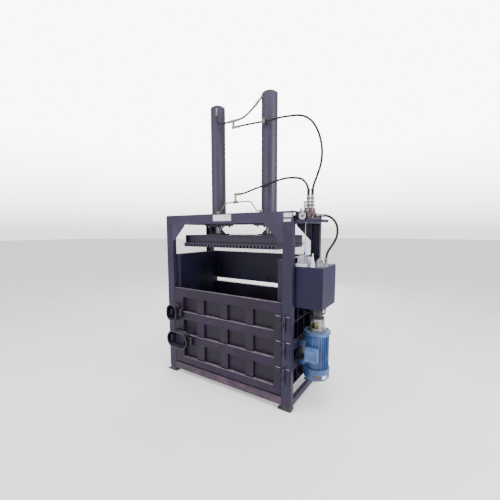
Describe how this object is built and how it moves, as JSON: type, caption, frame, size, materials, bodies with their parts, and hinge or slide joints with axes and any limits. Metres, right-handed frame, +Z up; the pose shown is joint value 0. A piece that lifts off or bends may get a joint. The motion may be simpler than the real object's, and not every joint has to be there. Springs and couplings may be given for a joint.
{
  "type": "vertical recycling baler",
  "caption": "Vertical recycling baler: channel frame press with twin cylinders, ram plate, ribbed doors with hoop latches, oil tank, motor, pump, hand valve and hoses.",
  "frame": {"origin": "on the floor, in the middle of the rectangle of the four anchor holes", "axes": "+X to the side with the motor, +Y to the rear, +Z up along the cylinders"},
  "size_m": [1.9939, 0.924, 3.092],
  "materials": {
    "frame_paint": "satin dark grey machine paint on rolled steel",
    "chamber_paint": "satin dark grey paint, worn by bales",
    "door_paint": "satin dark grey paint on welded sheet",
    "latch_paint": "satin dark grey paint on bent flat bar",
    "cylinder_paint": "satin dark grey paint on steel tube",
    "rod_chrome": "hard chromed and polished",
    "ram_paint": "satin dark grey paint",
    "zinc": "zinc plated",
    "tank_paint": "satin grey paint on folded sheet",
    "cover_plastic": "pale moulded plastic",
    "funnel_plastic": "white moulded plastic",
    "filter_metal": "grey lacquer on aluminium",
    "motor_paint": "semi gloss blue enamel on a finned housing",
    "rotor_steel": "turned steel",
    "cast_aluminium": "bare cast aluminium",
    "valve_paint": "dark red brown enamel on cast iron",
    "knob_plastic": "black ball knob on a steel rod",
    "gauge_case": "pressed steel case",
    "hose_rubber": "black braided rubber hose"
  },
  "bodies": {
    "frame": {"air_breather": "filter_metal", "base_front_beam": "frame_paint", "base_rear_beam": "frame_paint", "bell_housing": "cast_aluminium", "corner_gussets": "frame_paint", "cylinder_left": "cylinder_paint", "cylinder_right": "cylinder_paint", "drain_pipe": "zinc", "fan_cowl": "motor_paint", "feet": "frame_paint", "filler_cover": "cover_plastic", "filler_funnel": "funnel_plastic", "flange_bolts": "zinc", "floor_plate": "chamber_paint", "gear_pump": "cast_aluminium", "hinge_pins": "zinc", "hose_lower_feed": "hose_rubber", "hose_return": "hose_rubber", "hose_upper_feed": "hose_rubber", "hose_upper_left": "hose_rubber", "hose_upper_right": "hose_rubber", "lower_link_pipes": "zinc", "motor_bracket": "frame_paint", "motor_housing": "motor_paint", "oil_tank": "tank_paint", "pipe_fittings": "zinc", "post_front_left": "frame_paint", "post_front_right": "frame_paint", "post_hinge_leaves": "frame_paint", "post_latch_lugs": "frame_paint", "post_rear_left": "frame_paint", "post_rear_right": "frame_paint", "pressure_gauge": "gauge_case", "rear_panel": "chamber_paint", "return_filter": "filter_metal", "rod_glands": "cylinder_paint", "side_rails": "frame_paint", "side_wall_left": "chamber_paint", "side_wall_right": "chamber_paint", "suction_pipe": "zinc", "terminal_box": "motor_paint", "top_cross_beams": "frame_paint", "top_front_beam": "frame_paint", "top_rear_beam": "frame_paint", "valve_block": "valve_paint", "valve_shelf": "frame_paint"},
    "platen": {"piston_rod_left": "rod_chrome", "piston_rod_right": "rod_chrome", "platen_frame": "ram_paint", "platen_face": "ram_paint"},
    "front_door": {"front_door": "door_paint", "front_latch_mounts": "door_paint"},
    "rear_door": {"rear_door": "door_paint", "rear_latch_mounts": "door_paint"},
    "front_hoop_upper": {"front_latch_upper": "latch_paint"},
    "front_hoop_lower": {"front_latch_lower": "latch_paint"},
    "rear_hoop_upper": {"rear_latch_upper": "latch_paint"},
    "rear_hoop_lower": {"rear_latch_lower": "latch_paint"},
    "lever": {"valve_lever": "knob_plastic"},
    "rotor": {"motor_rotor": "rotor_steel"}
  },
  "joints": [
    {"name": "platen_slide", "type": "slide", "parent": "frame", "child": "platen", "axis": [0, 0, -1], "range_m": [0, 1.05]},
    {"name": "front_door_hinge", "type": "hinge", "parent": "frame", "child": "front_door", "pos_m": [0.795, -0.389, 0.5865], "axis": [0, 0, 1], "range_deg": [0, 150]},
    {"name": "rear_door_hinge", "type": "hinge", "parent": "frame", "child": "rear_door", "pos_m": [0.795, 0.409, 0.5865], "axis": [0, 0, -1], "range_deg": [0, 150]},
    {"name": "front_hoop_upper_swing", "type": "hinge", "parent": "front_door", "child": "front_hoop_upper", "pos_m": [-0.516, -0.394, 0.742], "axis": [0, 0, 1], "range_deg": [0, 120]},
    {"name": "front_hoop_lower_swing", "type": "hinge", "parent": "front_door", "child": "front_hoop_lower", "pos_m": [-0.363, -0.394, 0.432], "axis": [0, 0, 1], "range_deg": [0, 120]},
    {"name": "rear_hoop_upper_swing", "type": "hinge", "parent": "rear_door", "child": "rear_hoop_upper", "pos_m": [-0.516, 0.414, 0.742], "axis": [0, 0, -1], "range_deg": [0, 120]},
    {"name": "rear_hoop_lower_swing", "type": "hinge", "parent": "rear_door", "child": "rear_hoop_lower", "pos_m": [-0.363, 0.414, 0.432], "axis": [0, 0, -1], "range_deg": [0, 120]},
    {"name": "valve_lever_pivot", "type": "hinge", "parent": "frame", "child": "lever", "pos_m": [0.925, -0.255, 1.862], "axis": [1, 0, 0], "range_deg": [-25, 25], "stiffness_Nm_per_rad": 1},
    {"name": "motor_spin", "type": "hinge", "parent": "frame", "child": "rotor", "pos_m": [1.013, -0.11, 0.6], "axis": [0, 0, 1], "continuous": true}
  ]
}
